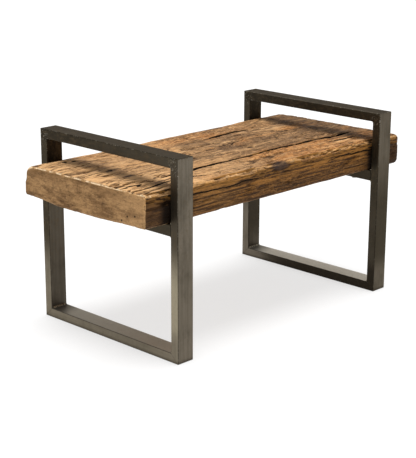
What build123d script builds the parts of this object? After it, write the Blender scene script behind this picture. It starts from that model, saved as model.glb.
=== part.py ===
from build123d import *
import os

# Entryway bench: one thick hewn timber slab held in two rectangular loops of steel tube.
# Millimetres. X runs along the seat, -Y is the front, +Z is up.
# The origin is on the floor, under the middle of the seat.

# ---- driving dimensions ----
LOOP_DEPTH = 500.0  # front to back, outside
LOOP_HEIGHT = 505.0  # floor to the top of the handle rail
LOOP_SPREAD = 814.0  # along the seat, outside of one loop to the outside of the other

TUBE_WIDTH = 51.0  # side of the tube that faces front, back, up and down
TUBE_DEPTH = 25.0  # side of the tube that lies in the loop's plane
TUBE_WALL = 2.0
TUBE_CORNER = 2.5  # outer rounding along the tube's edges
LOOP_CORNER = 3.0  # rounding where two mitred tubes are welded and ground

SLAB_LENGTH = 966.0
SLAB_WIDTH = 440.0
SLAB_THICKNESS = 82.0
SLAB_TOP = 427.0
SLAB_EDGE = 9.0  # worn edges

CROSSBAR_HEIGHT = 30.0

SCREW_SPACING = 150.0  # from the middle screw to each outer one
SCREW_DIAMETER = 8.0
SCREW_LENGTH = 80.0  # under the head
SCREW_THREAD = 44.0  # threaded length, with the point
SCREW_PITCH = 3.6
SCREW_POINT = 7.0
THREAD_ROOT = 0.72  # the thread's root diameter, as a share of the screw's diameter
HEX_FLATS = 13.0
HEX_HEIGHT = 5.5
HEX_CHAMFER = 1.0  # bevel that cuts off the head's six corners
HEX_CROWN = 1.13  # diameter that the bevel starts from, as a share of the flats
WASHER_OUTER = 24.0
WASHER_INNER = 8.4
WASHER_THICKNESS = 2.0
WASHER_CHAMFER = 0.4
HOLE_DIAMETER = 9.0  # clearance hole in the crossbar
SLOT_LENGTH = 16.0  # outer holes are slots, so that the timber can swell and shrink
PILOT_CLEARANCE = 0.1  # round the screw in the timber
PILOT_EXTRA = 2.0  # depth beyond the screw's point

WELD_LEG = 3.5
WELD_CROWN = 0.62  # how full the bead is: 0.5 would be flat

PAST = 1.0  # how far a cutting shape runs past the face that it cuts

# ---- worked out from them ----
SLAB_UNDERSIDE = SLAB_TOP - SLAB_THICKNESS
CROSSBAR_UNDERSIDE = SLAB_UNDERSIDE - CROSSBAR_HEIGHT
CROSSBAR_LENGTH = LOOP_DEPTH - 2 * TUBE_DEPTH
HEAD_SEAT = CROSSBAR_UNDERSIDE - WASHER_THICKNESS
LOOP_MIDDLE_X = LOOP_SPREAD / 2 - TUBE_WIDTH / 2
WELD_LENGTH = TUBE_WIDTH - 2 * TUBE_CORNER
SIDES = {"left": -LOOP_MIDDLE_X, "right": LOOP_MIDDLE_X}
SCREW_PLACES = (-SCREW_SPACING, 0.0, SCREW_SPACING)


def tube_section(width, depth):
    """A hollow rectangle with rounded corners: the section of a steel tube."""
    outside = RectangleRounded(width, depth, TUBE_CORNER)
    inside = Rectangle(width - 2 * TUBE_WALL, depth - 2 * TUBE_WALL)
    return outside - inside


def upright_tube(length):
    """A tube along Z, wide side along X, centred on the origin."""
    return extrude(tube_section(TUBE_WIDTH, TUBE_DEPTH), length / 2, both=True)


def lying_tube(length, height=TUBE_DEPTH):
    """A tube along Y, wide side along X, centred on the origin."""
    return Rot(90, 0, 0) * extrude(tube_section(TUBE_WIDTH, height), length / 2, both=True)


def loop_form():
    """The solid outline of a whole loop, with its rounded welded corners."""
    outline = RectangleRounded(LOOP_DEPTH, LOOP_HEIGHT, LOOP_CORNER)
    form = extrude(Plane.YZ * outline, TUBE_WIDTH, both=True)
    return Pos(0, 0, LOOP_HEIGHT / 2) * form


def mitre_form(long_edge):
    """A trapezoid block whose slanting ends are the mitres; its long edge is at y = 0, facing -Y."""
    half = long_edge / 2
    corners = [
        (-half, 0),
        (half, 0),
        (half - TUBE_DEPTH, TUBE_DEPTH),
        (-half + TUBE_DEPTH, TUBE_DEPTH),
    ]
    outline = make_face(Polyline(*corners, close=True))
    return extrude(Plane.YZ * outline, TUBE_WIDTH, both=True)


def post(front):
    """One mitred upright of a loop."""
    middle_y = (LOOP_DEPTH - TUBE_DEPTH) / 2
    tube = Pos(0, -middle_y, LOOP_HEIGHT / 2) * upright_tube(LOOP_HEIGHT)
    mitre = Pos(0, -LOOP_DEPTH / 2, LOOP_HEIGHT / 2) * Rot(-90, 0, 0) * mitre_form(LOOP_HEIGHT)
    piece = tube & mitre & loop_form()
    return piece if front else Rot(0, 0, 180) * piece


def floor_rail():
    """The mitred bar that the loop stands on."""
    tube = Pos(0, 0, TUBE_DEPTH / 2) * lying_tube(LOOP_DEPTH)
    return tube & mitre_form(LOOP_DEPTH) & loop_form()


def handle_rail():
    """The mitred bar over the seat, which is an armrest and a handle."""
    tube = Pos(0, 0, LOOP_HEIGHT - TUBE_DEPTH / 2) * lying_tube(LOOP_DEPTH)
    mitre = Pos(0, 0, LOOP_HEIGHT) * Rot(180, 0, 0) * mitre_form(LOOP_DEPTH)
    return tube & mitre & loop_form()


def crossbar():
    """The bar that carries the seat, drilled for the screws from below."""
    bar = Pos(0, 0, CROSSBAR_UNDERSIDE + CROSSBAR_HEIGHT / 2) * lying_tube(CROSSBAR_LENGTH, CROSSBAR_HEIGHT)
    start = CROSSBAR_UNDERSIDE - PAST
    depth = CROSSBAR_HEIGHT + 2 * PAST
    for y in SCREW_PLACES:
        if y == 0:
            outline = Circle(HOLE_DIAMETER / 2)
        else:
            outline = Rot(0, 0, 90) * SlotOverall(SLOT_LENGTH, HOLE_DIAMETER)
        bar -= Pos(0, y, start) * extrude(outline, depth)
    return bar


def weld_bead():
    """A fillet bead along X, in the corner between +Y and +Z."""
    middle = WELD_LEG * WELD_CROWN
    crown = ThreePointArc((WELD_LEG, 0), (middle, middle), (0, WELD_LEG))
    legs = Polyline((0, WELD_LEG), (0, 0), (WELD_LEG, 0))
    section = make_face([crown, legs])
    return extrude(Plane.YZ * section, WELD_LENGTH / 2, both=True)


def corner_welds():
    """The bead inside each of the loop's four corners."""
    inner_y = CROSSBAR_LENGTH / 2
    low = TUBE_DEPTH
    high = LOOP_HEIGHT - TUBE_DEPTH
    places = [(-inner_y, low, 0), (-inner_y, high, -90), (inner_y, high, 180), (inner_y, low, 90)]
    return [Pos(0, y, z) * Rot(turn, 0, 0) * weld_bead() for y, z, turn in places]


def crossbar_welds():
    """The beads over and under each end of the crossbar."""
    inner_y = CROSSBAR_LENGTH / 2
    low = CROSSBAR_UNDERSIDE
    high = SLAB_UNDERSIDE
    places = [(-inner_y, low, -90), (-inner_y, high, 0), (inner_y, high, 90), (inner_y, low, 180)]
    return [Pos(0, y, z) * Rot(turn, 0, 0) * weld_bead() for y, z, turn in places]


def thread_profile():
    """Half of the screw's section from its point down to the plain shank, as (radius, height)."""
    crest = SCREW_DIAMETER / 2
    root = crest * THREAD_ROOT
    tip = SCREW_LENGTH
    points = [(0, tip), (root, tip - SCREW_POINT)]
    turns = int((SCREW_THREAD - SCREW_POINT) / SCREW_PITCH)
    for turn in range(turns):
        height = tip - SCREW_POINT - turn * SCREW_PITCH
        points.append((crest, height - SCREW_PITCH / 2))
        points.append((root, height - SCREW_PITCH))
    return points


def coach_screw():
    """A hexagon-headed wood screw pointing up, with the underside of its head at z = 0."""
    shank_top = SCREW_LENGTH - SCREW_THREAD
    profile = thread_profile()
    profile += [(SCREW_DIAMETER / 2, shank_top), (SCREW_DIAMETER / 2, 0), (0, 0)]
    outline = make_face(Polyline(*profile, close=True))
    shaft = revolve(Plane.XZ * outline, Axis.Z)
    hexagon = extrude(RegularPolygon(HEX_FLATS / 2, 6, major_radius=False), HEX_HEIGHT)
    bevelled = Pos(0, 0, HEX_HEIGHT / 2) * Cylinder(HEX_FLATS / 2 * HEX_CROWN, HEX_HEIGHT)
    bevelled = chamfer(bevelled.edges().group_by(Axis.Z)[0], HEX_CHAMFER)
    head = Pos(0, 0, -HEX_HEIGHT) * (hexagon & bevelled)
    return shaft + head


def washer():
    """A wide flat washer, top face at z = 0."""
    ring = Circle(WASHER_OUTER / 2) - Circle(WASHER_INNER / 2)
    disc = extrude(ring, -WASHER_THICKNESS)
    rims = disc.edges().filter_by(GeomType.CIRCLE).group_by(SortBy.RADIUS)[-1]
    return chamfer(rims, WASHER_CHAMFER)


def slab():
    """The seat: one thick beam, bored from below for the screws."""
    block = Pos(0, 0, SLAB_TOP - SLAB_THICKNESS / 2) * Box(SLAB_LENGTH, SLAB_WIDTH, SLAB_THICKNESS)
    block = fillet(block.edges(), SLAB_EDGE)
    bore_top = HEAD_SEAT + SCREW_LENGTH + PILOT_EXTRA
    bore_length = bore_top - SLAB_UNDERSIDE + PAST
    bore = Cylinder(SCREW_DIAMETER / 2 + PILOT_CLEARANCE, bore_length)
    for x in SIDES.values():
        for y in SCREW_PLACES:
            block -= Pos(x, y, bore_top - bore_length / 2) * bore
    return block


def save(name, shape):
    """Write one sub-part; a list is a group of separate solids."""
    whole = Compound(children=shape) if isinstance(shape, list) else shape
    export_step(whole, f"parts/{name}.step")
    print(f"{name:24s} {len(whole.solids())} solid(s) {whole.volume / 1000:9.1f} cm3")


def save_loop(side, x):
    """Write every piece that stands at one end of the bench."""
    at_loop = Pos(x, 0, 0)
    save(f"{side}_front_post", at_loop * post(front=True))
    save(f"{side}_rear_post", at_loop * post(front=False))
    save(f"{side}_handle_rail", at_loop * handle_rail())
    save(f"{side}_floor_rail", at_loop * floor_rail())
    save(f"{side}_seat_crossbar", at_loop * crossbar())
    save(f"{side}_corner_welds", [at_loop * bead for bead in corner_welds()])
    save(f"{side}_crossbar_welds", [at_loop * bead for bead in crossbar_welds()])
    save(f"{side}_washers", [Pos(x, y, CROSSBAR_UNDERSIDE) * washer() for y in SCREW_PLACES])
    save(f"{side}_coach_screws", [Pos(x, y, HEAD_SEAT) * coach_screw() for y in SCREW_PLACES])


os.makedirs("parts", exist_ok=True)
save("seat_slab", slab())
for side, x in SIDES.items():
    save_loop(side, x)
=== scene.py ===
# %% [markdown]
# # An entryway bench, finished in Blender
# The bench is one thick hand-hewn beam held in two rectangular loops of steel tube.
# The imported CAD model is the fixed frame: its steel tubes, crossbars, screws and washers are
# already the right shape, so here they only get better materials. The beam is a plain block in
# CAD, so it is built again as a dense mesh, with cracks, gouges and worn edges in the geometry.

# %% Load the frame
import itertools
import math

import bpy
import numpy as np
from mathutils import Matrix, Vector


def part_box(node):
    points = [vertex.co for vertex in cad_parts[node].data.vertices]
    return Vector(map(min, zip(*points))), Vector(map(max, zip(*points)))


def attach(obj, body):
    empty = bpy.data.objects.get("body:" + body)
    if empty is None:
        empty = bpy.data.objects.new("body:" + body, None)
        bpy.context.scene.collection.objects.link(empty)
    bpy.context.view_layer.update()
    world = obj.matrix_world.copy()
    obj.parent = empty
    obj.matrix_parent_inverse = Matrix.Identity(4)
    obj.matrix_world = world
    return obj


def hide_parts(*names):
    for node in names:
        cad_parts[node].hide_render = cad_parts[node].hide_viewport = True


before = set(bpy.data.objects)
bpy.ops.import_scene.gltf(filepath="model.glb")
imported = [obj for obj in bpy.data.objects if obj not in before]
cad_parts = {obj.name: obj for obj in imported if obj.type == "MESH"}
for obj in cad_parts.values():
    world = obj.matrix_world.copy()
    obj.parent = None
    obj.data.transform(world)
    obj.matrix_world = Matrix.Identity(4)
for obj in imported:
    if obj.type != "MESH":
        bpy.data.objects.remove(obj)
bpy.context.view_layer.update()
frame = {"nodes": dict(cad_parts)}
nodes = frame["nodes"]

# %% [markdown]
# ## Camera
# A product picture is usually taken from a little above seat height, from one end. A long lens
# far away keeps the uprights nearly parallel. The camera is placed first, aimed at a point low
# in the middle of the bench, and rolled by a fraction of a degree.

# %% Camera
CAMERA_PLACE = Vector((-2.41994, -2.30802, 1.17857))
CAMERA_AIM = Vector((-0.02441, 0.02506, 0.20441))
CAMERA_ROLL = math.radians(0.216)
LENS_MM = 101.63
SENSOR_MM = 36.0
VIEW_LIMIT = 200.0  # metres; nothing further away is drawn


def add_camera():
    """The main camera, made current."""
    data = bpy.data.cameras.new("main_camera")
    data.lens = LENS_MM
    data.sensor_width = SENSOR_MM
    data.clip_end = VIEW_LIMIT
    camera = bpy.data.objects.new("main_camera", data)
    bpy.context.scene.collection.objects.link(camera)
    turn = (CAMERA_AIM - CAMERA_PLACE).to_track_quat("-Z", "Y").to_matrix().to_4x4()
    roll = Matrix.Rotation(CAMERA_ROLL, 4, "Z")
    camera.matrix_world = Matrix.Translation(CAMERA_PLACE) @ turn @ roll
    bpy.context.scene.camera = camera
    return camera


camera = add_camera()
print("camera", camera.matrix_world.translation[:])

# %% [markdown]
# ## Writing materials as expressions
# A material is a net of small nodes. Wiring them by hand is hard to read, so one small class
# wraps a number socket and lets it be used in ordinary arithmetic. `1 - mask` then adds a Math
# node by itself. Colours and vectors go through their own nodes, because a Math node would turn
# a colour grey.


# %% Sockets as numbers
class Wire:
    """One output socket in a material, usable in arithmetic when it carries a number."""

    def __init__(self, finish, socket):
        self.finish = finish
        self.socket = socket

    def maths(self, operation, first, second=0.0):
        """The output of a Math node."""
        return self.finish.node("ShaderNodeMath", {"operation": operation}, {0: first, 1: second})

    def __add__(self, other):
        return self.maths("ADD", self, other)

    def __sub__(self, other):
        return self.maths("SUBTRACT", self, other)

    def __rsub__(self, other):
        return self.maths("SUBTRACT", other, self)

    def __mul__(self, other):
        return self.maths("MULTIPLY", self, other)

    __radd__ = __add__
    __rmul__ = __mul__

    def __abs__(self):
        return self.maths("ABSOLUTE", self)

    def at_least(self, other):
        return self.maths("MAXIMUM", self, other)

    def at_most(self, other):
        return self.maths("MINIMUM", self, other)

    def ramp(self, low, high):
        """0 below low, 1 above high, and a smooth rise between; low may be the larger."""
        settings = {"interpolation_type": "SMOOTHSTEP"}
        return self.finish.node("ShaderNodeMapRange", settings, {"Value": self, 1: low, 2: high})


# %% A finish: one material and its nodes
class Finish:
    """A material with a Principled shader, and short ways to add nodes to it."""

    def __init__(self, name, **constants):
        self.material = bpy.data.materials.new(name)
        self.material.use_nodes = True
        self.tree = self.material.node_tree
        self.shader = self.tree.nodes["Principled BSDF"]
        for socket, value in constants.items():
            self.shader.inputs[socket.replace("_", " ")].default_value = value

    def feed(self, socket, value):
        """Link a wire to a socket, or set the socket to a constant."""
        if isinstance(value, Wire):
            self.tree.links.new(value.socket, socket)
        else:
            socket.default_value = value

    def node(self, kind, settings, inputs, out=0):
        """Add a node of a kind: its settings first, then its sockets' values or links."""
        made = self.tree.nodes.new(kind)
        for name, value in settings.items():
            setattr(made, name, value)
        for key, value in inputs.items():
            self.feed(made.inputs[key], value)
        return Wire(self, made.outputs[out])

    def place(self):
        """Where a point is, in the bench's own frame, in metres."""
        return self.node("ShaderNodeTexCoord", {}, {}, "Object")

    def split(self, vector):
        """A vector's three numbers, along X, Y and Z."""
        return [self.node("ShaderNodeSeparateXYZ", {}, {0: vector}, axis) for axis in "XYZ"]

    def stretched(self, place, scale):
        """The place multiplied by a number on each axis, which squeezes a texture along it."""
        return self.node("ShaderNodeVectorMath", {"operation": "MULTIPLY"}, {0: place, 1: scale})

    def distance(self, place, spot):
        """How far the place is from a spot."""
        inputs = {0: place, 1: spot}
        return self.node("ShaderNodeVectorMath", {"operation": "DISTANCE"}, inputs, "Value")

    def noise(self, place, scale, detail, roughness, distortion=0.0):
        """A random pattern from 0 to 1; a larger scale makes it finer on that axis."""
        inputs = {"Vector": self.stretched(place, scale), "Scale": 1.0, "Detail": detail}
        inputs |= {"Roughness": roughness, "Distortion": distortion}
        return self.node("ShaderNodeTexNoise", {}, inputs, "Fac")

    def mesh_value(self, name):
        """A number stored on the mesh's own points."""
        return self.node("ShaderNodeAttribute", {"attribute_name": name}, {}, "Fac")

    def mix(self, share, first, second):
        """A colour between two colours."""
        inputs = {0: share, 6: first, 7: second}
        return self.node("ShaderNodeMix", {"data_type": "RGBA"}, inputs, 2)

    def layered(self, tone, layers):
        """The tone with colours laid over it in turn; a layer is a share and a colour."""
        for share, tint in layers:
            tone = self.mix(share, tone, tint)
        return tone

    def bump(self, height, distance, strength):
        """A surface direction that makes heights from 0 to 1 look that far apart, in metres."""
        inputs = {"Height": height, "Distance": distance, "Strength": strength}
        return self.node("ShaderNodeBump", {}, inputs)

    def shade(self, **sockets):
        """Link what varies over the surface to the shader."""
        for name, value in sockets.items():
            self.feed(self.shader.inputs[name.replace("_", " ")], value)
        return self.material


class PlacedFinish(Finish):
    """A finish that changes with the place on the bench and with the way that a face looks."""

    def __init__(self, name, **constants):
        super().__init__(name, **constants)
        self.at = self.place()
        self.x, self.y, self.z = self.split(self.at)
        facing = self.node("ShaderNodeNewGeometry", {}, {}, "Normal")
        self.facing_x, self.facing_y, self.facing_z = self.split(facing)


# %% Colours
def colour(red, green, blue):
    """A colour as screens name it, from 0 to 255, turned into light by the sRGB formula."""
    parts = [c / 255 for c in (red, green, blue)]
    linear = [c / 12.92 if c <= 0.04045 else ((c + 0.055) / 1.055) ** 2.4 for c in parts]
    return (*linear, 1.0)


WHITE = (1.0, 1.0, 1.0, 1.0)
print("brown as light", [round(part, 3) for part in colour(139, 98, 59)])

# %% [markdown]
# ## Floor and light
# A white floor and white surroundings suit a catalogue picture. The floor glows a little by
# itself, like a lit table, so the shadow under the bench stays faint. One large soft light high
# above draws the handles' shadows on the seat. The room is bright overhead and darker lower down,
# so that the steel mirrors something dark and looks like dark metal. At the horizon itself it is
# white again, so that the floor has no visible end.

# %% Floor and light
FLOOR_SIZE = 80.0
FLOOR_WHITE = (0.30, 0.30, 0.30, 1.0)
FLOOR_GLOW = 0.655
OVERHEAD_STRENGTH = 3.0
OVERHEAD_ANGLE = math.radians(34)
OVERHEAD_DIRECTION = Vector((0.04, -0.02, 1.0))
# How bright the room is at some heights, where 0 is the horizon and 1 is straight up.
ROOM_STOPS = [(0.0, 1.0), (0.05, 0.98), (0.15, 0.46), (0.30, 0.34), (0.85, 0.80)]


def add_floor():
    """A wide white floor that glows a little."""
    half = FLOOR_SIZE / 2
    mesh = bpy.data.meshes.new("floor")
    corners = [(-half, -half, 0), (half, -half, 0), (half, half, 0), (-half, half, 0)]
    mesh.from_pydata(corners, [], [(0, 1, 2, 3)])
    floor = bpy.data.objects.new("floor", mesh)
    bpy.context.scene.collection.objects.link(floor)
    paint = Finish("floor_paint", Roughness=0.9, Base_Color=FLOOR_WHITE)
    paint.shader.inputs["Emission Color"].default_value = WHITE
    paint.shader.inputs["Emission Strength"].default_value = FLOOR_GLOW
    floor.data.materials.append(paint.material)


def add_overhead_light():
    """One large soft light, high above."""
    data = bpy.data.lights.new("overhead", "SUN")
    data.energy = OVERHEAD_STRENGTH
    data.angle = OVERHEAD_ANGLE
    light = bpy.data.objects.new("overhead", data)
    bpy.context.scene.collection.objects.link(light)
    light.rotation_euler = OVERHEAD_DIRECTION.to_track_quat("Z", "Y").to_euler()


def add_room():
    """Surroundings that are bright at the horizon and overhead, and dim between."""
    world = bpy.data.worlds.new("room")
    bpy.context.scene.world = world
    world.use_nodes = True
    tree = world.node_tree
    place = tree.nodes.new("ShaderNodeTexCoord")
    split = tree.nodes.new("ShaderNodeSeparateXYZ")
    ramp = tree.nodes.new("ShaderNodeValToRGB")
    stops = ramp.color_ramp.elements
    while len(stops) < len(ROOM_STOPS):
        stops.new(1.0)
    for stop, (height, bright) in zip(stops, ROOM_STOPS):
        stop.position = height
        stop.color = (bright, bright, bright, 1.0)
    tree.links.new(place.outputs["Generated"], split.inputs[0])
    tree.links.new(split.outputs["Z"], ramp.inputs["Fac"])
    tree.links.new(ramp.outputs["Color"], tree.nodes["Background"].inputs["Color"])


add_floor()
add_overhead_light()
add_room()
bpy.context.scene.view_settings.view_transform = "Standard"
print("floor and light ready")

# %% [markdown]
# ## Random but repeatable
# Old timber is irregular, yet the script has to give the same beam each time. So the random
# values come from a formula: each corner of an endless lattice of cells has its own fixed value,
# and a point between the corners blends them smoothly. Long, narrow cells give fibres.


# %% Lattice noise
SHUFFLE_X = 73856093
SHUFFLE_Y = 19349663
SHUFFLE_Z = 83492791
SHUFFLE_SEED = 2654435761
SHUFFLE_AGAIN = 1274126177
KEEP_32_BITS = 0xFFFFFFFF
KEEP_16_BITS = 0xFFFF
SEED_SHIFT = 0.37  # moves each seed's lattice a little, in cells


def lattice(ix, iy, iz, seed):
    """A fixed value from 0 to 1 for each whole-number corner."""
    mixed = (ix * SHUFFLE_X) ^ (iy * SHUFFLE_Y) ^ (iz * SHUFFLE_Z) ^ (seed * SHUFFLE_SEED)
    mixed &= KEEP_32_BITS
    mixed = ((mixed ^ (mixed >> 13)) * SHUFFLE_AGAIN) & KEEP_32_BITS
    return ((mixed ^ (mixed >> 16)) & KEEP_16_BITS) / KEEP_16_BITS


def wander(points, cell, seed):
    """Smooth random values from 0 to 1; cell is how far apart they are along X, Y and Z."""
    scaled = points / np.array(cell) + SEED_SHIFT * seed
    base = np.floor(scaled).astype(np.int64)
    part = scaled - base
    part = part * part * (3 - 2 * part)
    total = np.zeros(len(points))
    for corner in itertools.product((0, 1), repeat=3):
        weight = np.prod(np.where(corner, part, 1 - part), axis=1)
        total += weight * lattice(*(base + np.array(corner)).T, seed)
    return total


def rise(values, low, high):
    """0 below low, 1 above high, smooth between."""
    share = np.clip((values - low) / (high - low), 0, 1)
    return share * share * (3 - 2 * share)


print("one corner's value", round(float(lattice(1, 2, 3, 4)), 3))

# %% [markdown]
# ## The hewn beam: lines of the mesh
# Work is in millimetres here. The beam starts as the skin of a block cut by three sets of lines.
# The lines crowd together next to the long drying cracks and near the edges, where the shape
# changes fast, and are further apart elsewhere, so the mesh spends its faces where they show.

# %% Lines that crowd where detail is
MM = 0.001
slab_low, slab_high = (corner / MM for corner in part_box("seat_slab"))
BEAM_BACK = slab_high.y - 2.0  # the back face is a little further in than the front face
LONG_CRACK_Y = -110.0
BACK_CRACK_Y = 110.0
FRONT_CRACK_Z = 401.0
COUNT_X, COUNT_Y, COUNT_Z = 186, 196, 36
FINE_STEPS = 4000
# Where lines crowd: the middle, the half width, and how many times denser they are there.
CROWDED_X = [(slab_low.x, 26, 3.5), (slab_high.x, 26, 3.0)]
CROWDED_Y = [(LONG_CRACK_Y, 13, 2.6), (BACK_CRACK_Y, 11, 2.0)]
CROWDED_Y += [(slab_low.y, 18, 1.8), (BEAM_BACK, 24, 1.5)]
CROWDED_Z = [(slab_high.z, 10, 1.5), (FRONT_CRACK_Z, 8, 2.6)]


def graded(low, high, count, crowded):
    """Positions from low to high, closer together where they are crowded."""
    fine = np.linspace(low, high, FINE_STEPS)
    density = np.ones_like(fine)
    for middle, half, times in crowded:
        density += (times - 1) * np.exp(-(((fine - middle) / half) ** 4))
    total = np.concatenate([[0], np.cumsum((density[1:] + density[:-1]) / 2)])
    return np.interp(np.linspace(0, total[-1], count), total, fine)


lines_x = graded(slab_low.x, slab_high.x, COUNT_X, CROWDED_X)
lines_y = graded(slab_low.y, BEAM_BACK, COUNT_Y, CROWDED_Y)
lines_z = graded(slab_low.z, slab_high.z, COUNT_Z, CROWDED_Z)
print("lines", len(lines_x), len(lines_y), len(lines_z))


# %% Skin of the block
def skin_of_block(xs, ys, zs):
    """Points and four-sided faces of a block's closed skin."""
    inner = np.zeros((len(xs), len(ys), len(zs)), bool)
    inner[1:-1, 1:-1, 1:-1] = True
    outer = np.argwhere(~inner)
    number = np.full(inner.shape, -1)
    number[tuple(outer.T)] = np.arange(len(outer))
    points = np.column_stack([xs[outer[:, 0]], ys[outer[:, 1]], zs[outer[:, 2]]])

    def sheet(grid, flip):
        """The faces of one side; flip turns them to look the other way."""
        quads = np.stack([grid[:-1, :-1], grid[1:, :-1], grid[1:, 1:], grid[:-1, 1:]], -1)
        quads = quads.reshape(-1, 4)
        return quads[:, ::-1] if flip else quads

    sheets = [sheet(number[:, :, -1], False), sheet(number[:, :, 0], True)]
    sheets += [sheet(number[:, 0, :], False), sheet(number[:, -1, :], True)]
    sheets += [sheet(number[0], True), sheet(number[-1], False)]
    return points, np.vstack(sheets)


block_points, beam_faces = skin_of_block(lines_x, lines_y, lines_z)
print("beam points", len(block_points), "faces", len(beam_faces))

# %% [markdown]
# ## The hewn beam: worn edges
# The edges are not equally worn. The back top edge is broad and round, the front top edge is
# tighter and chipped, the sawn ends are crisp, and the right-hand end is more worn than the left.
# So each edge is an arc whose radii along X, Y and Z change with the place. An old beam isn't
# quite straight either. Where it is clear of the loops, the underside of the left end sags, and
# two corners stand out sideways.


# %% Rounding
def worn_radii(points):
    """How far each edge is rounded along X, Y and Z, in millimetres."""
    x, y, z = points.T
    top = rise(z, 380, 392)
    upper = rise(z, 350, 425)
    lower = 1 - rise(z, 352, 378)
    left_tip = rise(-x, 430, 470)
    right_tip = rise(x, 430, 470)
    front_edge = rise(-y, 175, 205) * top
    back_edge = rise(y, 150, 190) * top
    left_rear_corner = left_tip * rise(y, 150, 200) * upper
    right_rear_corner = right_tip * rise(y, 140, 190)
    right_front_foot = right_tip * rise(-y, 150, 200) * lower
    # Each row is a place, and the millimetres that wear adds to the radii there.
    wear = [
        (np.ones_like(x), (4.5, 6.5, 6.0)),  # everywhere
        (wander(points, (46, 46, 60), 11), (3.0, 4.0, 4.0)),  # a little more here and there
        (front_edge, (0.0, 5.0, 5.0)),
        (back_edge, (0.0, 16.0, 5.0)),
        (back_edge * rise(-x, -310, -240), (0.0, 14.0, 6.0)),  # all but its right-hand part
        (rise(x, 380, 440) * upper, (7.0, 0.0, 0.0)),
        (left_rear_corner, (6.0, 0.0, 6.0)),
        (right_rear_corner, (8.0, 0.0, 0.0)),
        (right_front_foot, (9.0, 0.0, 5.0)),
    ]
    return sum(np.outer(place, radii) for place, radii in wear)


def rounded(points):
    """Block points moved on to its rounded form, and the outward direction at each."""
    low = np.array([lines_x[0], lines_y[0], lines_z[0]])
    high = np.array([lines_x[-1], lines_y[-1], lines_z[-1]])
    radii = worn_radii(points)
    core = np.clip(points, low + radii, high - radii)
    outward = (points - core) / radii
    outward /= np.linalg.norm(outward, axis=1, keepdims=True)
    # A stretched ball's surface doesn't face straight outward, so the radii come in again.
    normal = outward / radii
    normal /= np.linalg.norm(normal, axis=1, keepdims=True)
    return core + radii * outward, normal


# %% Uneven ends
CLEAR_OF_LOOPS = 412.0  # the loops' outer faces are at 407
SAG = 4.5  # of the left end's underside, in its middle
REAR_LIFT = 3.5  # of the same underside, at the back
REAR_FLARE = 5.5  # of the left end's rear corner, backward
FRONT_FLARE = 4.0  # of the right end's front corner, forward


def uneven_ends(points):
    """The points, moved so that the left end sags and two corners stand out sideways."""
    x, y, z = points.T
    underside = rise(-x, CLEAR_OF_LOOPS, 450) * (1 - rise(z, 345, 420))
    rear_corner = rise(-x, CLEAR_OF_LOOPS, 475) * rise(y, 0, 218)
    front_corner = rise(x, CLEAR_OF_LOOPS, 475) * rise(-y, 0, 220)
    sagging = rise(y, -190, -40) * (1 - rise(y, 70, 170))
    lift = underside * (REAR_LIFT * rise(y, 90, 225) - SAG * sagging)
    outward = REAR_FLARE * rear_corner - FRONT_FLARE * front_corner
    return points + np.column_stack([np.zeros_like(x), outward, lift])


beam_points, beam_normals = rounded(block_points)
beam_points = uneven_ends(beam_points)
print("beam from", beam_points.min(axis=0).round(1), "to", beam_points.max(axis=0).round(1))

# %% [markdown]
# ## The hewn beam: cracks, gouges and tool marks
# Everything here is a depth, in millimetres, that is taken off along the outward direction.
# The grain runs along X, and it drifts sideways slowly, so each texture is read at a place that
# has first been nudged sideways by a slow drift. Cracks follow a few chosen points.

# %% Grain drift
KNOT = np.array([-10.0, -214.0, 417.0])
KNOT_REACH = np.array([46.0, 20.0, 15.0])
KNOT_BEND = np.array([0.0, -16.0, 8.0])  # how far the grain bends round the knot
BEND_REACH = 1.6 * KNOT_REACH
# Each row of a drift is how far it goes, the cell that it wanders in, and a seed.
DRIFT_Y = [(18, (210, 120, 120), 21), (5, (70, 40, 40), 22)]
DRIFT_Z = [(14, (190, 120, 120), 23), (4, (60, 40, 40), 24)]


def drift(points, rows):
    """How far the grain has drifted sideways at each point."""
    return sum(far * (wander(points, cell, seed) - 0.5) for far, cell, seed in rows)


def drifted(points):
    """The points, moved sideways as the grain drifts, and bent round the knot."""
    bend = np.exp(-np.sum(((points - KNOT) / BEND_REACH) ** 2, axis=1))
    moved = points + np.outer(bend, KNOT_BEND)
    moved[:, 1] += drift(points, DRIFT_Y)
    moved[:, 2] += drift(points, DRIFT_Z)
    return moved


grain = drifted(beam_points)
print("furthest drift", round(float(np.abs(grain - beam_points).max()), 1), "mm")

# %% Cracks
# Each crack is a list of places along the grain, its half width and its depth, in millimetres.
LONG_CRACK = [(-340, -121), (-226, -118), (-137, -111), (-59, -110)]
LONG_CRACK += [(-13, -115), (81, -105), (204, -109)]
TOP_CRACKS = [
    (LONG_CRACK, 6.0, 16),
    ([(150, -109), (204, -109), (264, -103), (320, -112), (410, -108)], 6.8, 17),
    ([(60, 104), (88, 107), (162, 115), (228, 106)], 6.4, 14),
    ([(-300, -150), (-264, -169), (-236, -179)], 4.0, 8),
    ([(-483, -176), (-433, -169), (-398, -162), (-335, -161)], 4.5, 10),
    ([(-483, -198), (-440, -191), (-395, -186)], 3.6, 8),
    ([(-483, -136), (-446, -131), (-408, -133)], 3.6, 8),
    ([(-130, 2), (-69, 10), (28, 16), (156, 38), (255, 43), (350, 22)], 2.4, 2.2),
    ([(-483, 12), (-430, 18), (-372, 16)], 2.6, 4),
    ([(250, -150), (310, -158), (380, -152)], 4.0, 6),
]
FRONT_CRACKS = [
    ([(-360, 405), (-268, 401), (-202, 399), (-144, 404), (-80, 401)], 2.3, 2.2),
    ([(170, 399), (228, 404), (300, 402), (358, 403), (420, 399)], 2.1, 2.6),
]
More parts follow.
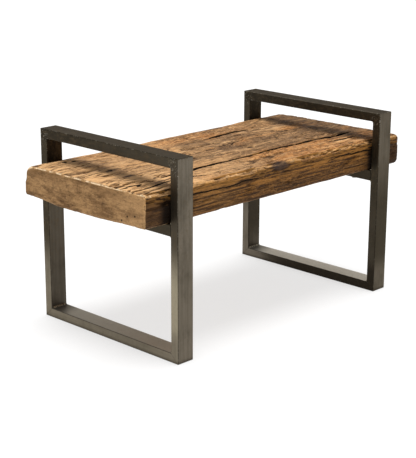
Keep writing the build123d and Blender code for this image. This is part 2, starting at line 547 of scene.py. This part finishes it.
# Small round hollows and raised pale flakes on the top: place and reach along X and Y.
HOLLOWS = [(-399, 165, 4, 3.2), (-377, 155, 5, 3.4), (-379, 17, 6, 3.2)]
HOLLOW_DEPTH = 6
FLAKES = [(60, 35, 26, 8), (345, 161, 14, 7), (-300, -196, 22, 7)]
FLAKES += [(300, -172, 40, 8), (210, -190, 30, 7)]
CRACK_TAPER = 40  # over which a crack runs out at each end
CRACK_WOBBLES = [(3.2, 23), (1.6, 9)]  # how far a crack wobbles, and over what length
TOP_SEED, FRONT_SEED = 40, 80
SEEDS_PER_CRACK = 3


def crack_depth(along, across, path, half_width, depth, seed):
    """How deep one crack is at each point, from its place along and across the grain."""
    places = np.array(path, float)
    middle = np.interp(along, places[:, 0], places[:, 1])
    flat = np.column_stack([along, np.zeros_like(along), np.zeros_like(along)])
    for turn, (far, length) in enumerate(CRACK_WOBBLES):
        middle += far * (wander(flat, (length, 1, 1), seed + turn) - 0.5)
    first, last = places[0, 0], places[-1, 0]
    taper = np.clip(np.minimum(along - first, last - along) / CRACK_TAPER, 0, 1) ** 0.6
    width = half_width * (0.42 + 0.95 * wander(flat, (27, 1, 1), seed + 2)) * (0.35 + 0.65 * taper)
    wedge = np.clip(1 - np.abs(across - middle) / np.maximum(width, 0.1), 0, 1)
    return depth * taper * wedge**0.7


def deepest(along, across, rows, first_seed):
    """The deepest of several cracks at each point."""
    total = np.zeros(len(along))
    for number, (path, half_width, depth) in enumerate(rows):
        seed = first_seed + SEEDS_PER_CRACK * number
        total = np.maximum(total, crack_depth(along, across, path, half_width, depth, seed))
    return total


def all_cracks(points, normals):
    """Total crack depth on the top and front faces."""
    x, y, z = points.T
    on_top = rise(normals[:, 2], 0.3, 0.7) * deepest(x, y, TOP_CRACKS, TOP_SEED)
    on_front = rise(-normals[:, 1], 0.3, 0.7) * deepest(x, z, FRONT_CRACKS, FRONT_SEED)
    return np.maximum(on_top, on_front)


def spots(points, normals, places):
    """1 in the middle of each listed spot on the top, fading to 0 round it."""
    total = np.zeros(len(points))
    for x, y, reach_x, reach_y in places:
        away = ((points[:, 0] - x) / reach_x) ** 2 + ((points[:, 1] - y) / reach_y) ** 2
        total = np.maximum(total, np.exp(-away))
    return total * rise(normals[:, 2], 0.3, 0.7)


cracks = all_cracks(beam_points, beam_normals)
cracks = np.maximum(cracks, HOLLOW_DEPTH * spots(beam_points, beam_normals, HOLLOWS))
flakes = spots(grain, beam_normals, FLAKES)
print("deepest crack", round(float(cracks.max()), 1), "mm")


# %% Tool marks, gouges and chips
WAVE_DEPTH, SCALLOP_DEPTH = 3.2, 1.8
COARSE_FIBRE, FINE_FIBRE = 2.2, 1.5
SPLIT_DEPTH = 3.4
LONG_GOUGE, SHORT_GOUGE = 4.6, 3.4
BIG_CHIP, SMALL_CHIP = 4.2, 3.4


def tool_depth(points, grain):
    """Adze scallops and slow waves, which are broad and shallow."""
    slow = wander(points, (250, 150, 150), 31)
    scallop = np.abs(wander(grain, (84, 46, 46), 32) - 0.5) * 2
    return WAVE_DEPTH * slow + SCALLOP_DEPTH * scallop**1.5


def fibre_depth(grain):
    """Raised fibres between softer, worn-away wood."""
    coarse = wander(grain, (90, 16, 11), 34)
    fine = wander(grain, (34, 8, 5.5), 35)
    return COARSE_FIBRE * coarse + FINE_FIBRE * fine


def split_depth(grain):
    """Long thin splits: they run where a slowly changing value passes through its middle."""
    value = wander(grain, (150, 24, 18), 41)
    gate = rise(wander(grain, (120, 60, 60), 42), 0.42, 0.60)
    return SPLIT_DEPTH * gate * rise(0.06 - np.abs(value - 0.5), 0.0, 0.05)


def gouge_depth(points, grain):
    """Short splintered hollows along the grain; more of them near the left end and the front."""
    x, y = points[:, 0], points[:, 1]
    rough = 0.12 * rise(-x, 250, 380) * rise(-y, 0, 120)
    rough += 0.08 * rise(-y, 130, 190) * rise(x, 120, 250)
    rough += 0.10 * (wander(points, (170, 80, 80), 36) - 0.5)
    long_ones = rise(wander(grain, (48, 8.0, 7.0), 37) + rough, 0.80, 0.94)
    short_ones = rise(wander(grain, (22, 6.0, 5.5), 38) + rough, 0.80, 0.92)
    return LONG_GOUGE * long_ones + SHORT_GOUGE * short_ones


def chip_depth(points, normals):
    """Bites out of the worn front top edge."""
    on_edge = rise(-normals[:, 1], 0.10, 0.45) * rise(normals[:, 2], 0.10, 0.45)
    bites = rise(wander(points, (34, 18, 18), 39), 0.42, 0.75)
    small = rise(wander(points, (13, 8, 8), 51), 0.5, 0.8)
    return on_edge * (BIG_CHIP * bites + SMALL_CHIP * small)


tools = tool_depth(beam_points, grain)
fibres = fibre_depth(grain)
splits = split_depth(grain)
gouges = gouge_depth(beam_points, grain)
chips = chip_depth(beam_points, beam_normals)
print("deepest gouge", round(float(gouges.max()), 1), "mm")


# %% [markdown]
# ## The hewn beam: putting the depths together
# The sawn ends are much flatter than the hewn sides, and the lower part of each side is calmer
# than the upper part, as are the back and the right-hand end. The underside is flat where it
# sits on the two crossbars, so no depth is taken there. The average depth is given back
# afterwards, so the beam keeps its full size.


# %% Shape the beam
SAWN_CALM, LOWER_CALM, FAR_CALM = 0.88, 0.75, 0.45  # shares of the relief that are left out
FLAKE_HEIGHT = 1.5
PAD_MARGIN, PAD_FADE = 14, 8


def seat_pads(points, normals):
    """1 where the underside rests on a crossbar, 0 elsewhere."""
    low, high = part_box("left_seat_crossbar")
    middle = abs(low.x + high.x) / 2 / MM
    reach = (high.x - low.x) / 2 / MM
    near = rise(reach + PAD_MARGIN - np.abs(np.abs(points[:, 0]) - middle), 0, PAD_FADE)
    return near * rise(-normals[:, 2], 0.3, 0.7)


sawn = rise(np.abs(beam_normals[:, 0]), 0.35, 0.8)
lower = 1 - rise(beam_points[:, 2], 352, 372)
far_edges = np.maximum(rise(beam_points[:, 1], 190, 212), rise(beam_points[:, 0], 425, 455))
pads = seat_pads(beam_points, beam_normals)
hewn = (1 - SAWN_CALM * sawn) * (1 - LOWER_CALM * lower) * (1 - FAR_CALM * far_edges)
hewn = hewn * (1 - pads)
taken = tools + fibres + splits + gouges + chips - FLAKE_HEIGHT * flakes
average = float(taken[sawn < 0.1].mean())
relief = hewn * (taken - average) + cracks * (1 - pads)
beam_final = (beam_points - beam_normals * relief[:, None]) * MM
print("average depth", round(average, 1), "mm, deepest", round(float(relief.max()), 1), "mm")


# %% Make the beam
FULL_CRACK = 4  # millimetres at which a crack's colour is full
FULL_GOUGE = 4
FULL_FIBRE = 4.2


def store(mesh, name, values):
    """Keep a number per point on the mesh, for a material to read."""
    layer = mesh.attributes.new(name, "FLOAT", "POINT")
    layer.data.foreach_set("value", np.ascontiguousarray(values, dtype=np.float32))


def make_beam():
    """The beam as an object in place of the plain CAD slab."""
    mesh = bpy.data.meshes.new("hewn_beam")
    mesh.from_pydata(beam_final.tolist(), [], beam_faces.tolist())
    mesh.polygons.foreach_set("use_smooth", [True] * len(mesh.polygons))
    hollows = hewn * (gouges + splits + chips * 0.5)
    store(mesh, "crack", np.clip(cracks / FULL_CRACK, 0, 1))
    store(mesh, "gouge", np.clip(hollows / FULL_GOUGE, 0, 1))
    store(mesh, "edge", 1 - np.max(np.abs(beam_normals), axis=1))
    store(mesh, "fibre", fibres / FULL_FIBRE)
    store(mesh, "sawn", sawn)
    store(mesh, "flake", flakes)
    mesh.update()
    beam = bpy.data.objects.new("hewn_beam", mesh)
    bpy.context.scene.collection.objects.link(beam)
    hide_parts("seat_slab")
    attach(beam, "root")
    return beam


beam = make_beam()
print("beam faces", len(beam.data.polygons))

# %% [markdown]
# ## Finish of the beam
# Reclaimed timber is a warm brown that changes along and across the grain: tan where raised
# fibres are rubbed, grey-brown where it has weathered. Cracks and hollows are painted nearly black
# as shade. The strip in front of the long crack is more orange and the middle greyer. The long
# front and back faces are darker than the top, with painted shade beside and beyond the posts, and
# the sawn ends are smoother, with a darker upper part. Light is painted in as well: pale
# highlights on the upper edges and the ends' front corners, and the seat is painted lighter under
# the left handle's shadow and darker under the right one's.
#
# The finish is made of layers. Each is a share, from 0 to 1, and the colour that it lays over
# what is already there. Noise patterns stretched along the grain make most of the shares.

# %% Timber colours
TAN = colour(178, 133, 86)
BROWN = colour(139, 98, 59)
DARK_BROWN = colour(50, 31, 15)
GREY_BROWN = colour(117, 88, 59)
ORANGE = colour(176, 116, 58)
OCHRE = colour(150, 104, 46)
PALE = colour(218, 173, 122)
RIM = colour(244, 216, 176)
SIDE_BROWN = colour(54, 34, 13)
SIDE_OCHRE = colour(150, 101, 42)
SAWN_TAN = colour(172, 133, 88)
SAWN_DARK = colour(118, 86, 52)
# Near black: painted shade in cracks and against the posts, and the worm holes.
NEAR_BLACK = colour(13, 8, 4)
KNOT_BLUE = colour(42, 36, 38)
GOLD = colour(222, 164, 92)
WORM_HOLES = [(-0.483, -0.140, 0.354), (-0.483, -0.160, 0.367), (-0.483, -0.186, 0.372)]
WORM_REACH = 0.0035
TIMBER_RELIEF = 0.0032  # height of the finest grain, in metres
POST_X = abs(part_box("left_front_post")[0].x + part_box("left_front_post")[1].x) / 2
print("posts' middle at", round(POST_X, 4))


# %% Timber patterns
class Timber(PlacedFinish):
    """The timber's material, with the mesh's values and the patterns that its layers share."""

    def __init__(self):
        super().__init__("hewn_timber", Roughness=0.62, Specular_IOR_Level=0.12)
        self.sawn_end = self.mesh_value("sawn").ramp(0.3, 0.9)
        self.crack = self.mesh_value("crack")
        self.gouge = self.mesh_value("gouge")
        self.edge = self.mesh_value("edge")
        self.fibre = self.mesh_value("fibre")
        self.flake = self.mesh_value("flake")
        self.side = abs(self.facing_y).ramp(0.45, 0.8)
        self.bands = self.noise(self.at, (4.5, 34, 60), 4, 0.62, 0.2)
        self.streaks = self.noise(self.at, (15, 66, 110), 4, 0.66, 0.3)
        self.grain = self.noise(self.at, (52, 130, 210), 4, 0.7)
        self.lines = self.noise(self.at, (14, 170, 230), 4, 0.7)
        self.patches = self.noise(self.at, (5, 11, 14), 4, 0.6)
        self.dashes = self.noise(self.at, (40, 105, 170), 3, 0.7)
        self.speckle = self.noise(self.at, (105, 135, 200), 4, 0.8)


# %% Top of the beam
def top_tone(wood):
    """Weathered timber: streaked along the grain, greyer in the middle, paler on the left and
    darker at the right-hand end, partly as painted light over the handles' shadows.
    """
    x, y = wood.x, wood.y
    top = 1 - wood.side
    middle = abs(y - 0.01).ramp(0.125, 0.085) * x.ramp(-0.12, 0.02)
    greyer = (wood.patches + middle * 0.16).ramp(0.46, 0.70)
    front_strip = y.ramp(-0.10, -0.125) * x.ramp(-0.2, 0.1)
    warmer = (front_strip * 0.2 - wood.patches).ramp(-0.48, -0.32)
    # Darker right-hand end: partly the timber's own colour, partly painted shadow that deepens the
    # right handle's shadow on the seat.
    right_end_and_shadow = x.ramp(0.335, 0.41) * (0.40 + wood.bands.ramp(0.40, 0.60) * 0.2)
    left_end = x.ramp(-0.23, -0.31) * top
    # Paler left end: partly the timber's own colour, partly painted light that lifts the left
    # handle's shadow on the seat.
    pale_and_painted_light = 0.30 + y.ramp(-0.03, -0.11) * 0.50 + x.ramp(-0.36, -0.40) * 0.45
    left_of_middle = x.ramp(-0.02, -0.12) * x.ramp(-0.31, -0.23) * top
    vein = abs(wood.bands - 0.5).ramp(0.018, 0.004) * wood.patches.ramp(0.40, 0.5)
    layers = [
        (wood.bands.ramp(0.38, 0.60), TAN),
        (greyer * 0.8, GREY_BROWN),
        (warmer * 0.6, ORANGE),
        (wood.streaks.ramp(0.48, 0.36) * 0.55, DARK_BROWN),
        (wood.streaks.ramp(0.55, 0.68) * 0.34, PALE),
        (wood.grain.ramp(0.475, 0.40) * 0.5, DARK_BROWN),
        (wood.grain.ramp(0.56, 0.64) * 0.42, PALE),
        (wood.speckle.ramp(0.475, 0.425) * 0.46, DARK_BROWN),
        (wood.speckle.ramp(0.555, 0.605) * 0.40, PALE),
        (wood.lines.ramp(0.44, 0.385) * 0.55, DARK_BROWN),
        (wood.fibre.ramp(0.36, 0.18) * 0.4, PALE),
        (wood.dashes.ramp(0.62, 0.70) * 0.8, DARK_BROWN),
        (middle * x.ramp(0.24, 0.12) * 0.16, DARK_BROWN),
        (right_end_and_shadow, DARK_BROWN),
        (left_end * wood.streaks.ramp(0.36, 0.56) * pale_and_painted_light.at_most(0.90), PALE),
        (left_of_middle * 0.22, PALE),
        (vein * 0.8, DARK_BROWN),
    ]
    return wood.layered(BROWN, layers)


# %% Front and back of the beam
def side_tone(wood):
    """Dark timber with ochre lines, more of them near the top edge."""
    ochre_share = wood.lines.ramp(0.45, 0.57) * wood.z.ramp(0.33, 0.41)
    ochre_share = ochre_share + wood.x.ramp(-0.05, -0.25) * 0.30
    layers = [
        (ochre_share.at_most(1.0), SIDE_OCHRE),
        (wood.speckle.ramp(0.53, 0.59) * 0.4, SIDE_OCHRE),
        (wood.x.ramp(-0.12, -0.25) * 0.08, SAWN_TAN),
    ]
    return wood.layered(SIDE_BROWN, layers)


def with_sides(wood, tone):
    """The tone with the front and back faces laid over it, with painted shade beside and beyond
    the posts.
    """
    x, side = wood.x, wood.side
    side_lines = wood.noise(wood.at, (6, 90, 250), 2, 0.5, 0.6)
    from_post = abs(x) - POST_X
    # Painted shade on the front and back faces beyond the posts and beside them, darkest as a
    # painted contact shadow right against each post.
    beyond_posts = abs(x).ramp(POST_X - 0.005, POST_X + 0.04)
    beside_post_shade = abs(from_post).ramp(0.065, 0.020)
    contact_shadow = from_post.ramp(0.060, 0.036) * from_post.ramp(-0.040, -0.028)
    post_shade = (beyond_posts * 0.5 + beside_post_shade * 0.8 + x.ramp(0.40, 0.43) * 0.3).at_most(0.92)
    chipped = wood.z.ramp(0.396, 0.410) * wood.dashes.ramp(0.58, 0.46)
    layers = [
        (side * (0.72 + wood.streaks * 0.2), side_tone(wood)),
        (side * side_lines.ramp(0.46, 0.40) * 0.8, DARK_BROWN),
        (side * wood.lines.ramp(0.455, 0.415) * 0.45, DARK_BROWN),
        (side * post_shade, DARK_BROWN),
        (side * x.ramp(-0.40, -0.44) * 0.3, KNOT_BLUE),
        (side * contact_shadow * 0.85, NEAR_BLACK),
        (side * chipped * 0.5, OCHRE),
    ]
    return wood.layered(tone, layers)


# %% Sawn ends of the beam
def sawn_tone(wood):
    """Smoother tan timber with saw lines and checks, and a painted highlight on the front corner.
    """
    bands = wood.noise(wood.at, (60, 9, 26), 5, 0.7)
    saw_lines = wood.noise(wood.at, (60, 44, 120), 5, 0.8)
    scratches = wood.noise(wood.at, (60, 30, 260), 4, 0.8)
    checks = wood.noise(wood.at, (60, 150, 26), 3, 0.6).ramp(0.66, 0.72)
    checks = checks * wood.z.ramp(0.375, 0.415) + wood.dashes.ramp(0.68, 0.74)
    upper_part = wood.z.ramp(0.395, 0.408) * wood.patches.ramp(0.35, 0.6)
    # A painted highlight along the vertical corner where the end meets the front face.
    front_corner = wood.y.ramp(-0.211, -0.219) * wood.facing_x.ramp(0.5, -0.5)
    layers = [
        (bands.ramp(0.40, 0.62), SAWN_DARK),
        (saw_lines.ramp(0.50, 0.36) * 0.5, DARK_BROWN),
        (saw_lines.ramp(0.56, 0.70) * 0.35, PALE),
        (scratches.ramp(0.47, 0.41) * 0.28, DARK_BROWN),
        (scratches.ramp(0.55, 0.62) * 0.25, PALE),
        (wood.speckle.ramp(0.46, 0.38) * 0.3, DARK_BROWN),
        (upper_part * 0.5, SAWN_DARK),
        (checks.at_most(1.0) * 0.7, DARK_BROWN),
        (wood.grain.ramp(0.46, 0.34) * 0.35, DARK_BROWN),
        (wood.y.ramp(-0.06, -0.19) * 0.14, PALE),
        (front_corner * 0.35, PALE),
    ]
    return wood.layered(SAWN_TAN, layers)


# %% Edges and spots of the beam
def with_edges(wood, tone):
    """The tone with golden shavings and dark nicks on the long edges, and pale upper edges and
    rims that are partly rubbed wear and partly painted highlight.
    """
    nicks = wood.noise(wood.at, (75, 170, 170), 3, 0.8).ramp(0.54, 0.60)
    shavings = wood.noise(wood.at, (48, 150, 150), 3, 0.8).ramp(0.50, 0.42)
    wear_and_sheen = wood.noise(wood.at, (20, 44, 20), 3, 0.7).ramp(0.44, 0.54)
    long_edge = wood.edge.ramp(0.04, 0.16) * abs(wood.facing_y).ramp(0.15, 0.4)
    # Upper edges and the ends' top rims are paler: partly rubbed wear, partly painted highlight
    # where they face the light above.
    worn_and_lit_edge = wood.edge.ramp(0.05, 0.22) * wood.facing_z.ramp(0.15, 0.5)
    rim_wear_and_highlight = worn_and_lit_edge * wear_and_sheen * abs(wood.facing_x).ramp(0.25, 0.6) * wood.z.ramp(0.398, 0.410)
    layers = [
        (long_edge * shavings * wood.z.ramp(0.395, 0.405) * 0.6, GOLD),
        (long_edge * nicks * 0.8, DARK_BROWN),
        (worn_and_lit_edge * wood.dashes.ramp(0.62, 0.48) * 0.45, PALE),
        (rim_wear_and_highlight * 0.9, RIM),
    ]
    return wood.layered(tone, layers)


def with_spots(wood, tone):
    """The tone with worm holes in the left end, pale flakes, the knot, and hollows and cracks
    painted dark as shade.
    """
    holes = [wood.distance(wood.at, hole) for hole in WORM_HOLES]
    scaled = wood.stretched(wood.at, tuple(1 / (KNOT_REACH * MM)))
    from_knot = wood.distance(scaled, tuple(KNOT / KNOT_REACH))
    # Hollows and cracks are painted dark by their depth: painted shade in them.
    hollow_shade = wood.gouge.ramp(0.15, 1.0) * (0.45 + wood.grain.ramp(0.62, 0.40) * 0.5)
    layers = [(away.ramp(WORM_REACH, WORM_REACH * 0.5) * 0.9, NEAR_BLACK) for away in holes]
    layers += [
        (wood.flake * wood.grain.ramp(0.36, 0.52) * 0.8, PALE),
        ((from_knot + wood.streaks * 0.9).ramp(1.55, 0.95) * 0.8, KNOT_BLUE),
        (hollow_shade * (1 - wood.side * 0.5), DARK_BROWN),
        (wood.crack.ramp(0.02, 0.28) * 0.98, NEAR_BLACK),
    ]
    return wood.layered(tone, layers)


# %% Timber
def timber_finish():
    """The whole finish: the faces, then the edges, then what is small and dark."""
    wood = Timber()
    tone = with_sides(wood, top_tone(wood))
    tone = wood.mix(wood.sawn_end, tone, sawn_tone(wood))
    tone = with_spots(wood, with_edges(wood, tone))
    height = wood.streaks * 0.4 + wood.grain * 0.5 + wood.lines * 0.5 + wood.speckle * 0.4
    height = height + wood.bands * 0.3 - wood.dashes.ramp(0.60, 0.70) * 0.3
    relief_normal = wood.bump(height * (1 - wood.sawn_end * 0.75), TIMBER_RELIEF, 1.0)
    rough = 0.56 + wood.streaks * 0.2 + wood.crack * 0.2
    return wood.shade(Base_Color=tone, Roughness=rough, Normal=relief_normal)


beam.data.materials.append(timber_finish())
print("timber finished, nodes", len(beam.data.materials[0].node_tree.nodes))

# %% [markdown]
# ## Finish of the steel
# The tubes have a dark gunmetal patina under satin lacquer. Brushing has left faint streaks
# along each tube, so posts and rails need the same finish with the streaks turned. Light and shade
# are painted into the patina: the handles and the loops' inner faces are painted nearly black as
# shade, the lower side faces and the tops of the floor rails are painted paler as reflections of
# the bright floor, and the right-hand loop is painted darker than the left as shade. The mitres
# are ground flush, which leaves a faint seam on the diagonal.

# %% Steel colours
STEEL = colour(111, 103, 91)
STEEL_STREAK = colour(96, 89, 77)
STEEL_BLACK = colour(26, 21, 14)
STEEL_DARK = colour(50, 45, 35)
STEEL_PALE = colour(158, 153, 140)
# Paler colours for painted reflections of the bright floor.
STEEL_SHEEN = colour(184, 174, 148)
RAIL_SHEEN = colour(214, 209, 197)
RUST_BROWN = colour(84, 71, 52)
GRAZING_TINT = colour(234, 222, 206)
STEEL_RELIEF = 0.00012  # height of the finest streaks, in metres
LOOP_HALF_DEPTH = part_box("left_handle_rail")[1].y
LOOP_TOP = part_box("left_handle_rail")[1].z
print("loops: half depth", round(LOOP_HALF_DEPTH, 3), "top", round(LOOP_TOP, 3))


# %% Steel patterns
class Steel(PlacedFinish):
    """The tubes' material, with the patterns and the parts of a loop that its layers share."""

    def __init__(self, name, streaks):
        super().__init__(name, Metallic=0.85, Roughness=0.42, Specular_Tint=GRAZING_TINT)
        self.long_streaks = self.noise(self.at, tuple(6 + 150 * s for s in streaks), 3, 0.6)
        self.hair_streaks = self.noise(self.at, tuple(14 + 700 * s for s in streaks), 2, 0.6)
        self.mottle = self.noise(self.at, tuple(45 + 60 * s for s in streaks), 4, 0.7)
        self.clouds = self.noise(self.at, (16, 16, 11), 4, 0.65)
        self.grit = self.noise(self.at, (240, 240, 240), 2, 0.6)
        self.pepper = self.noise(self.at, (130, 130, 130), 3, 0.75)
        self.sideways = abs(self.facing_x).ramp(0.5, 0.85)
        self.upward = self.facing_z.ramp(0.5, 0.85)
        self.right_loop = self.x.ramp(-0.1, 0.1)
        self.above_seat = self.z.ramp(0.33, 0.40)


# %% Patina and painted light
def patina_and_painted_light(steel):
    """Gunmetal, streaked, clouded and spotted with rust, with painted shade and reflections: dark
    up high and inside the loops, darker on the right-hand loop, paler low down.
    """
    y, z, right_loop = steel.y, steel.z, steel.right_loop
    sideways, upward = steel.sideways, steel.upward
    inward = (0 - y * steel.facing_y).ramp(0.10, 0.18)
    rear = y.ramp(0.0, 0.2)
    high = (z + rear * 0.07).ramp(0.18, 0.31)
    low = z.ramp(0.10, 0.05)
    # Masks for painted light: shade on the front and back faces at mid-height, a reflection of the
    # bright floor on the lower side faces, the right-hand loop painted darker as shade, and shade
    # on the handles' sides.
    waist_shade = abs(steel.facing_y) * z.ramp(0.04, 0.11) * z.ramp(0.40, 0.24)
    wear_and_sheen = 0.14 + y.ramp(0.1, -0.22) * (1 - low) * 0.34
    darker = 0.38 + sideways * (0.44 - rear * 0.75) + waist_shade * 0.56
    handle = sideways * z.ramp(0.470, 0.482)
    shown = (sideways + upward + inward).at_most(1.0) * high
    layers = [
        (steel.long_streaks.ramp(0.40, 0.64) * 0.7, STEEL_STREAK),
        (steel.clouds.ramp(0.42, 0.72) * 0.45, STEEL_DARK),
        # Painted shade and dark reflections on side faces up high, the right-hand loop and its
        # rail's side, inner faces, upward faces above the floor and the handles; the left loop's
        # lower side faces get a painted reflection of the bright floor.
        (sideways * high * (0.80 + rear * 0.15), STEEL_DARK),
        (sideways * (1 - high) * (1 - right_loop) * wear_and_sheen, STEEL_SHEEN),
        (right_loop * (1 - upward) * darker, STEEL_DARK),
        (right_loop * sideways * low * y.ramp(0.2, 0.08) * 0.8, STEEL_BLACK),
        (inward * (0.40 + steel.above_seat * 0.55 - right_loop * 0.04), STEEL_BLACK),
        (upward * (1 - low) * (0.86 + right_loop * 0.10), STEEL_BLACK),
        (handle * (y.ramp(-0.18, 0.12) * 0.5 + right_loop * 0.1), STEEL_BLACK),
        (waist_shade * 0.12, STEEL_DARK),
        # Painted reflection of the bright floor on the floor rails' tops, darker towards the back.
        (upward * low * (0.55 + right_loop * 0.45), RAIL_SHEEN),
        (upward * low * y.ramp(0.15, 0.215) * 0.7, STEEL_BLACK),
        (steel.mottle.ramp(0.46, 0.70) * shown * 0.42, RUST_BROWN),
        (steel.pepper.ramp(0.50, 0.66) * (0.12 + high * 0.2), RUST_BROWN),
    ]
    return steel.layered(STEEL, layers)


# %% Edges and mitres of the tubes
def with_worn_and_shaded_edges(steel, tone):
    """The tone with dark edge lines and a dark foot painted as shade, a paler line along the
    right-hand handle's top edges, and pale specks of wear.
    """
    x, y, z = abs(steel.facing_x), abs(steel.facing_y), abs(steel.facing_z)
    edge = 1 - x.at_least(y).at_least(z)
    clear_edge = edge.ramp(0.04, 0.2)
    pale_top_edge = clear_edge * steel.z.ramp(0.494, 0.501) * steel.right_loop
    specks = clear_edge * steel.grit.ramp(0.56, 0.66) * (0.2 + steel.z.ramp(0.36, 0.47) * 0.55)
    layers = [
        # Painted shade: dark lines along the rounded edges, and a painted contact shadow at the
        # foot.
        (edge.ramp(0.03, 0.20) * (0.75 - steel.above_seat * 0.62), STEEL_BLACK),
        (steel.z.ramp(0.012, 0.002) * 0.5, STEEL_BLACK),
        (pale_top_edge * 0.55, STEEL),
        (specks, STEEL_PALE),
        (steel.grit.ramp(0.66, 0.80) * steel.upward * 0.35, STEEL_PALE),
    ]
    return steel.layered(tone, layers)


def with_mitres(steel, tone):
    """The tone with a faint seam across each corner of a loop, and scuffs at the upper ones."""
    from_side = LOOP_HALF_DEPTH - abs(steel.y)
    from_end = steel.z.at_most(LOOP_TOP - steel.z)
    seam = abs(from_side - from_end).ramp(0.0022, 0.0006) * steel.sideways
    seam = seam * from_side.ramp(0.030, 0.024) * from_end.ramp(0.030, 0.024)
    corner = from_side.ramp(0.040, 0.015) * from_end.ramp(0.055, 0.020) * steel.sideways
    scuffs = corner * steel.z.ramp(0.30, 0.40) * steel.grit.ramp(0.57, 0.66)
    return steel.layered(tone, [(seam * 0.25, STEEL_BLACK), (scuffs * 0.5, STEEL_PALE)])


# %% Steel, welds and zinc
WELD_RELIEF = 0.0012  # height of a bead's ripples, in metres


def steel_finish(name, streaks, painted_shade=0.0):
    """Satin gunmetal; streaks is how fine the pattern is along X, Y and Z, and the last number
    darkens it as painted shade.
    """
    steel = Steel(name, streaks)
    tone = steel.mix(painted_shade, patina_and_painted_light(steel), STEEL_DARK)
    tone = with_mitres(steel, with_worn_and_shaded_edges(steel, tone))
    rough = 0.36 + steel.long_streaks * 0.08 + steel.clouds * 0.12
    fine = steel.bump(steel.hair_streaks * 0.5 + steel.grit * 0.5, STEEL_RELIEF, 0.4)
    return steel.shade(Base_Color=tone, Roughness=rough, Normal=fine)


def weld_finish():
    """Rippled beads, painted paler than the tubes as a highlight in the loops' inner corners."""
    weld = Finish("weld_bead", Metallic=0.85, Roughness=0.4)
    ripples = weld.noise(weld.place(), (420, 60, 60), 2, 0.5)
    tone = weld.mix(ripples.ramp(0.38, 0.62), colour(58, 52, 42), colour(150, 142, 124))
    return weld.shade(Base_Color=tone, Normal=weld.bump(ripples, WELD_RELIEF, 0.8))


def zinc_finish():
    """Dull plated steel, for the screws and washers under the seat."""
    zinc = Finish("dull_zinc", Metallic=0.9, Roughness=0.45)
    flecks = zinc.noise(zinc.place(), (260, 260, 260), 3, 0.6)
    tone = zinc.mix(flecks, colour(120, 118, 112), colour(176, 174, 168))
    return zinc.shade(Base_Color=tone, Roughness=0.38 + flecks * 0.2)


zinc = zinc_finish()
FINISHES = {
    "_post": steel_finish("post_steel", (1, 1, 0)),
    "_rail": steel_finish("rail_steel", (1, 0, 1)),
    # The crossbars under the seat are darkened as painted shade.
    "_crossbar": steel_finish("crossbar_steel", (1, 0, 1), 0.55),
    "_welds": weld_finish(),
    "_washers": zinc,
    "_coach_screws": zinc,
}


def dress(name, material):
    """Give a CAD node a material."""
    data = nodes[name].data
    data.materials.clear()
    data.materials.append(material)


for name, ending in itertools.product(nodes, FINISHES):
    if name.endswith(ending):
        dress(name, FINISHES[ending])
print("steel finished")
